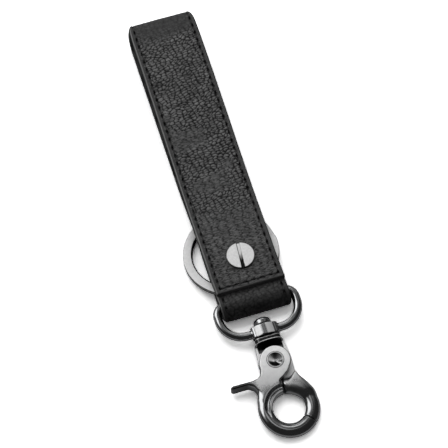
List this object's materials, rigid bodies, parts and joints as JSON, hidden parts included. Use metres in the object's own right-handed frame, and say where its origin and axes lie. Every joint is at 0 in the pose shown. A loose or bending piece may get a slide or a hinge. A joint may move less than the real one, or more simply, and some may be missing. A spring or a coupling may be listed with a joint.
{
  "type": "wristlet keychain",
  "caption": "Folded leather wrist strap held by a slotted binding screw, with a swivelling trigger hook held by a wire loop, and a flat split key ring behind it.",
  "frame": {"origin": "centre of the binding post's flat back face, on the screw's axis", "axes": "+X across the band, +Y along the band towards the wrist-loop end (the trigger hook is on -Y), +Z out of the grained front face; it lies on the plane z = -1.35 mm"},
  "size_m": [0.0354, 0.1723, 0.0141],
  "materials": {
    "grained_leather": "pebble-grained, semi-matte, painted edges",
    "lining_leather": "smooth, matte",
    "thread": "bonded thread, matte",
    "screw_steel": "nickel plated, fine satin",
    "gunmetal": "black nickel, polished",
    "spring_steel": "drawn wire",
    "ring_steel": "nickel plated, polished"
  },
  "bodies": {
    "strap": {"strap_leather": "grained_leather", "strap_lining": "lining_leather", "seam_thread": "thread", "screw_post": "screw_steel"},
    "binding_screw": {"slotted_screw": "screw_steel"},
    "loop": {"swivel_loop": "gunmetal"},
    "hook": {"hook_body": "gunmetal", "pivot_rivet": "gunmetal", "lever_spring": "spring_steel"},
    "lever": {"hook_lever": "gunmetal"},
    "key_ring": {"split_ring": "ring_steel"}
  },
  "joints": [
    {"name": "screw_turn", "type": "hinge", "parent": "strap", "child": "binding_screw", "pos_m": [0, 0, 0.0078], "axis": [0, 0, 1], "continuous": true},
    {"name": "loop_swing", "type": "hinge", "parent": "strap", "child": "loop", "pos_m": [0.0001, -0.015, 0.00343], "axis": [1, 0, 0], "range_deg": [-75, 75]},
    {"name": "hook_swivel", "type": "hinge", "parent": "loop", "child": "hook", "pos_m": [0.0001, -0.02819, 0.00283], "axis": [0, 0.9993, 0.0384], "continuous": true},
    {"name": "lever_open", "type": "hinge", "parent": "hook", "child": "lever", "pos_m": [0, -0.04028, 0.00237], "axis": [0, 0.0384, -0.9993], "range_deg": [0, 27], "deforming": ["lever_spring"]},
    {"name": "ring_turn", "type": "hinge", "parent": "strap", "child": "key_ring", "pos_m": [-0.0021, 0.0048, 0.0017], "axis": [-0.0349, 0.1006, 0.9943], "continuous": true}
  ]
}
